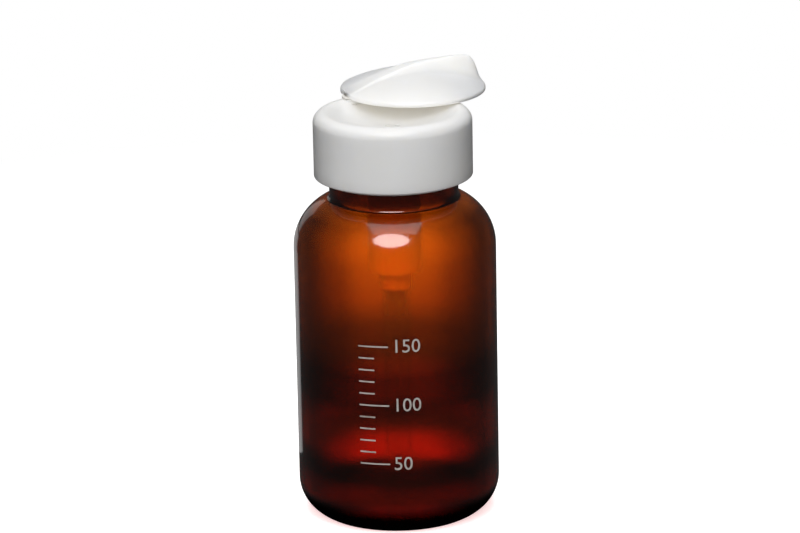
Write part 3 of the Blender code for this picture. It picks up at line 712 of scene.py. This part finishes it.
def make_lid():
    """Swing lid on a polar grid: dome and fin above, a rolled lip round its edge, hollow below."""
    place = Matrix.Translation(LID_CENTRE) @ Matrix.Rotation(FIN_AZIMUTH, 4, "Z")
    brim = LID_RADIUS - LID_ROLL
    levels = [(brim * i / LID_RINGS, None) for i in range(1, LID_RINGS + 1)]
    levels += [(LID_RADIUS - inset, height) for inset, height in LID_EDGE_ROUND]
    levels.append((LID_RADIUS, -LID_LIP + LID_ROLL))
    for roll in (math.radians(180 - 30 * i) for i in range(1, 6)):
        levels.append((brim - LID_ROLL * math.cos(roll), -LID_LIP - LID_ROLL * math.sin(roll) + LID_ROLL))
    levels.append((LID_RADIUS - LIP_INNER_INSET, -LID_LIP + LIP_INNER_RISE))
    levels.append((LID_RADIUS - LIP_ROOT_INSET, 0.0))
    hollow = LID_RADIUS * math.sqrt(1.0 - (LID_WALL - LID_EDGE) / LID_DOME)
    levels += [(hollow + HOLLOW_LEDGE, 0.0), (hollow, HOLLOW_RISE)]
    for reach in (hollow * i / HOLLOW_RINGS for i in range(HOLLOW_RINGS - 1, 0, -1)):
        levels.append((reach, dome_height(reach) - LID_WALL + HOLLOW_RISE))
    mesh = bpy.data.meshes.new("lid_shell")
    bm = bmesh.new()
    rows = []
    for reach, fixed in levels:
        row = []
        for k in range(LID_SPOKES):
            angle = math.tau * k / LID_SPOKES
            x, y = reach * math.cos(angle), reach * math.sin(angle)
            height = lid_top(x, y) if fixed is None else fixed * (lip_share(angle) if fixed < 0 else 1.0)
            row.append(bm.verts.new(place @ Vector((x, y, height))))
        rows.append(row)
    crown = bm.verts.new(place @ Vector((0, 0, lid_top(0, 0))))
    roof = bm.verts.new(place @ Vector((0, 0, dome_height(0) - LID_WALL + HOLLOW_RISE)))
    for k in range(LID_SPOKES):
        j = (k + 1) % LID_SPOKES
        bm.faces.new((crown, rows[0][k], rows[0][j]))
        bm.faces.new((roof, rows[-1][j], rows[-1][k]))
        for inner, outer in zip(rows, rows[1:]):
            bm.faces.new((inner[k], outer[k], outer[j], inner[j]))
    bm.to_mesh(mesh)
    bm.free()
    lid = new_object("lid_shell", mesh)
    socket = turned("lid_pin_socket", [
        (PIN_HOLE, LID_SOCKET_DEPTH), (LID_SOCKET_RADIUS, LID_SOCKET_DEPTH), (LID_SOCKET_RADIUS, 0.0),
        (PIN_HOLE, 0.0), (PIN_HOLE, LID_SOCKET_DEPTH)], SMALL_ROUND)
    socket.data.transform(Matrix.Translation((PIN.x, PIN.y, LID_LOW.z)))
    joined(lid, [socket])
    finished(smooth(lid, 50), "lid", "swivel_lid", LID_WHITE)


def make_spring():
    """Return spring under the piston, a helix of steel wire that moves with the head."""
    length, radius = SPRING_HIGH.z - SPRING_LOW.z, SPRING_HIGH.y - SPRING_WIRE
    spring = grow("spring_wire", HELIX, {
        "Turns": SPRING_TURNS, "Radius": radius, "Rise": length - 2 * SPRING_WIRE, "Bead": SPRING_WIRE,
        "Foot": SPRING_LOW.z + SPRING_WIRE, "Points": HELIX_POINTS, "Material": STEEL})
    finished(smooth(spring, 60), "head", "return_spring", STEEL)
    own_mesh(spring)


def fill_height(millilitres):
    """Height of the liquid's level for a volume, from the bottle's inner shape."""
    volume, height, step = 0.0, GLASS_FLOOR, 0.02 * MM
    while volume < millilitres * MILLILITRE:
        below = max(HEEL_CENTRE[1] - height, 0.0)
        volume += math.pi * (HEEL_CENTRE[0] + math.sqrt(INNER_HEEL ** 2 - below ** 2)) ** 2 * step
        height += step
    return height


def make_scale():
    """Volume scale printed on the front: level strokes and plain numbers at every fifty millilitres."""
    spacing = fill_height(SCALE_FIRST_ML + SCALE_STEP_ML) - fill_height(SCALE_FIRST_ML)
    count = (SCALE_LAST_ML - SCALE_FIRST_ML) // SCALE_STEP_ML + 1
    shared = {"Foot": fill_height(SCALE_FIRST_ML), "Radius": SCALE_RADIUS, "Start": SCALE_LEFT,
              "Stroke": STROKE_WIDTH, "Thick": INK_THICK, "Material": INK}
    strokes = grow("short_strokes", TICKS, {
        **shared, "Count": count, "Spacing": spacing, "Sweep": SHORT_STROKE})
    ratio = SCALE_LABEL_ML // SCALE_STEP_ML
    longs = grow("long_strokes", TICKS, {
        **shared, "Count": count // ratio + 1, "Spacing": spacing * ratio, "Sweep": LONG_STROKE})
    numbers = []
    for volume in range(SCALE_FIRST_ML, SCALE_LAST_ML + 1, SCALE_LABEL_ML):
        curve = bpy.data.curves.new(f"number_{volume}", "FONT")
        curve.body = str(volume)
        curve.size = DIGIT_HEIGHT
        curve.align_y = "CENTER"
        curve.resolution_u = 4
        curve.extrude = INK_THICK / 2
        number = text_mesh(curve)
        wrap(number, NUMBERS_LEFT, fill_height(volume))
        numbers.append(number)
    scale = joined(strokes, [longs] + numbers)
    scale.name = "printed_scale"
    finished(smooth(scale, 30), "bottle", None, INK)


def text_mesh(curve):
    """A number's curve as a plain mesh object, its seams welded."""
    source = new_object(curve.name + "_curve", curve)
    bpy.context.view_layer.update()
    mesh = bpy.data.meshes.new_from_object(source.evaluated_get(bpy.context.evaluated_depsgraph_get()))
    bpy.data.objects.remove(source)
    bm = bmesh.new()
    bm.from_mesh(mesh)
    bmesh.ops.remove_doubles(bm, verts=bm.verts, dist=INK_THICK / 50)
    bmesh.ops.recalc_face_normals(bm, faces=bm.faces)
    bm.to_mesh(mesh)
    bm.free()
    return new_object(curve.name, mesh)


def wrap(obj, azimuth, height):
    """Bends a flat number round the glass, its left end at the azimuth."""
    for vert in obj.data.vertices:
        turn = azimuth + vert.co.x / SCALE_RADIUS
        reach = SCALE_RADIUS + vert.co.z
        vert.co = (reach * math.cos(turn), reach * math.sin(turn), height + vert.co.y)


def dress_hidden():
    """Pump and pivot pieces keep their frame shapes and get their own finishes."""
    for nodes, finish in ((("screw_collar", "stem_guide", "piston_stem", "pin_washer"), HIDDEN_WHITE),
                          (("pump_cylinder", "ball_retainer", "piston_seal"), NATURAL),
                          (("dip_tube",), TUBING),
                          (("neck_gasket",), RUBBER),
                          (("inlet_ball", "outlet_ball", "lid_pin", "pin_clip"), STEEL)):
        for node in nodes:
            obj = frame["nodes"][node]
            obj.data.materials.clear()
            obj.data.materials.append(finish)


# Studio

CAMERA_RISE = math.radians(19.616)
CAMERA_TILT = math.radians(3.002)
CAMERA_PAN = math.radians(0.062)
CAMERA_ROLL = math.radians(1.1)
CAMERA_DISTANCE = 1.432
SENSOR_WIDTH = 36.0
PHOTO_SCALE = 0.316 * MM
PHOTO_WIDTH = 800


def make_camera():
    """The photograph's view, fitted to the bottle's outline."""
    data = bpy.data.cameras.new("photo_camera")
    data.sensor_width = SENSOR_WIDTH
    data.lens = SENSOR_WIDTH * CAMERA_DISTANCE / PHOTO_SCALE / PHOTO_WIDTH
    camera = new_object("photo_camera", data)
    down = CAMERA_RISE - CAMERA_TILT
    ahead = Vector((math.sin(CAMERA_PAN) * math.cos(down), math.cos(CAMERA_PAN) * math.cos(down),
                    -math.sin(down)))
    right = Vector((math.cos(CAMERA_PAN), -math.sin(CAMERA_PAN), 0.0))
    above = right.cross(ahead)
    across = right * math.cos(CAMERA_ROLL) - above * math.sin(CAMERA_ROLL)
    upward = right * math.sin(CAMERA_ROLL) + above * math.cos(CAMERA_ROLL)
    basis = Matrix((across, upward, -ahead)).transposed().to_4x4()
    stand = Vector((0.0, -math.cos(CAMERA_RISE), math.sin(CAMERA_RISE))) * CAMERA_DISTANCE
    camera.matrix_world = Matrix.Translation(stand) @ basis
    bpy.context.scene.camera = camera


ROOM_WHITE = 1.0
ROOM_IN_GLOSS = 0.03
ROOM_LIGHT = 0.10
FLOOR_REACH = 4.0
FLOOR_DROP = 0.05 * MM
FLOOR_WHITE = 0.95
FLOOR_PAINT = (0.9, 0.9, 0.9, 1.0)
FLOOR_GLOW = 0.62
# Painted shadow under the bottle: its darkest share and its reach
PAINTED_SHADOW_UNDER_BOTTLE = 0.02
PAINTED_SHADOW_REACH = 1.4 * BODY_RADIUS
FADE_START = 0.12
FADE_END = 0.45
LAMP_AIM = (0.0, 0.0, 0.09)


def seen_strength(tree, white):
    """White where the camera or the glass looks, dim where gloss looks, faint as light on things."""
    path = tree.nodes.new("ShaderNodeLightPath")
    level = None
    for ray, strength in (("Is Glossy Ray", ROOM_IN_GLOSS), ("Is Transmission Ray", white),
                          ("Is Camera Ray", white)):
        step = tree.nodes.new("ShaderNodeMix")
        step.inputs["A"].default_value = ROOM_LIGHT
        step.inputs["B"].default_value = strength
        tree.links.new(path.outputs[ray], step.inputs["Factor"])
        if level:
            tree.links.new(level, step.inputs["A"])
        level = step.outputs["Result"]
    return path, level


def make_world():
    """White all round for the camera and the glass, and a dim room for gloss and shade."""
    world = bpy.data.worlds.new("studio")
    bpy.context.scene.world = world
    world.use_nodes = True
    back = world.node_tree.nodes["Background"]
    back.inputs["Color"].default_value = (1.0, 1.0, 1.0, 1.0)
    _, level = seen_strength(world.node_tree, ROOM_WHITE)
    world.node_tree.links.new(level, back.inputs["Strength"])


def make_floor():
    """White sweep that keeps the bottle's shadow; for gloss and the glass it also carries a painted shadow
    under the bottle.
    """
    mesh = bpy.data.meshes.new("floor")
    bm = bmesh.new()
    bmesh.ops.create_grid(bm, x_segments=2, y_segments=2, size=FLOOR_REACH)
    bm.to_mesh(mesh)
    bm.free()
    floor = new_object("floor", mesh)
    floor.location.z = BOTTLE_LOW.z - FLOOR_DROP
    material = bpy.data.materials.new("white_floor")
    material.use_nodes = True
    tree = material.node_tree
    nodes, links = tree.nodes, tree.links
    nodes.clear()
    path, level = seen_strength(tree, FLOOR_WHITE)
    mirrored = nodes.new("ShaderNodeEmission")
    links.new(level, mirrored.inputs["Strength"])
    reach = nodes.new("ShaderNodeVectorMath")
    reach.operation = "LENGTH"
    links.new(nodes.new("ShaderNodeTexCoord").outputs["Object"], reach.inputs[0])
    # Painted shadow: the floor seen in gloss and through the glass darkens under the bottle
    under = nodes.new("ShaderNodeMapRange")
    under.interpolation_type = "SMOOTHSTEP"
    for socket, value in (("From Min", BODY_RADIUS), ("From Max", PAINTED_SHADOW_REACH), ("To Min", PAINTED_SHADOW_UNDER_BOTTLE)):
        under.inputs[socket].default_value = value
    links.new(reach.outputs["Value"], under.inputs["Value"])
    links.new(under.outputs["Result"], mirrored.inputs["Color"])
    paint = nodes.new("ShaderNodeBsdfDiffuse")
    paint.inputs["Color"].default_value = FLOOR_PAINT
    glow = nodes.new("ShaderNodeEmission")
    glow.inputs["Strength"].default_value = FLOOR_GLOW
    near = nodes.new("ShaderNodeAddShader")
    links.new(paint.outputs["BSDF"], near.inputs[0])
    links.new(glow.outputs["Emission"], near.inputs[1])
    away = nodes.new("ShaderNodeMapRange")
    away.inputs["From Min"].default_value = FADE_START
    away.inputs["From Max"].default_value = FADE_END
    links.new(reach.outputs["Value"], away.inputs["Value"])
    direct = nodes.new("ShaderNodeMixShader")
    links.new(away.outputs["Result"], direct.inputs["Fac"])
    links.new(near.outputs["Shader"], direct.inputs[1])
    links.new(nodes.new("ShaderNodeEmission").outputs["Emission"], direct.inputs[2])
    choose = nodes.new("ShaderNodeMixShader")
    links.new(path.outputs["Is Camera Ray"], choose.inputs["Fac"])
    links.new(mirrored.outputs["Emission"], choose.inputs[1])
    links.new(direct.outputs["Shader"], choose.inputs[2])
    out = nodes.new("ShaderNodeOutputMaterial")
    links.new(choose.outputs["Shader"], out.inputs["Surface"])
    mesh.materials.append(material)


def softbox(name, place, size, power, target=LAMP_AIM, shape="RECTANGLE", mirrored=True):
    """An area lamp aimed at a point; it shows in gloss only where it is meant to be mirrored."""
    data = bpy.data.lights.new(name, "AREA")
    data.shape = shape
    data.size, data.size_y = size
    data.energy = power
    lamp = new_object(name, data)
    lamp.location = place
    lamp.rotation_euler = (Vector(target) - Vector(place)).to_track_quat("-Z", "Y").to_euler()
    lamp.visible_camera = lamp.visible_transmission = False
    lamp.visible_glossy = mirrored


def make_studio():
    """The white room, its lamps and the camera."""
    bpy.context.scene.view_settings.view_transform = "Standard"
    make_world()
    make_floor()
    softbox("front_softbox", (-0.08, -0.78, 1.08), (0.80, 0.66), 8.6, shape="ELLIPSE")
    softbox("top_light", (0.0, 0.75, 1.30), (0.95, 0.70), 8.0, mirrored=False)
    softbox("top_softbox", (0.0, -0.22, 1.40), (0.95, 0.70), 2.6)
    softbox("front_fill", (-0.10, -1.10, 0.60), (1.2, 0.5), 6.0, mirrored=False)
    softbox("back_fill", (0.25, 1.25, 0.42), (1.2, 0.6), 4.2, mirrored=False)
    softbox("left_panel", (-0.42, 0.93, 0.20), (0.32, 0.40), 0.10)
    softbox("left_card", (-0.052, 0.048, 0.0425), (0.024, 0.085), 0.0022, target=(-0.031, 0.0, 0.0425))
    make_camera()


make_bottle()
make_cap()
make_lid()
make_spring()
make_scale()
dress_hidden()
make_studio()
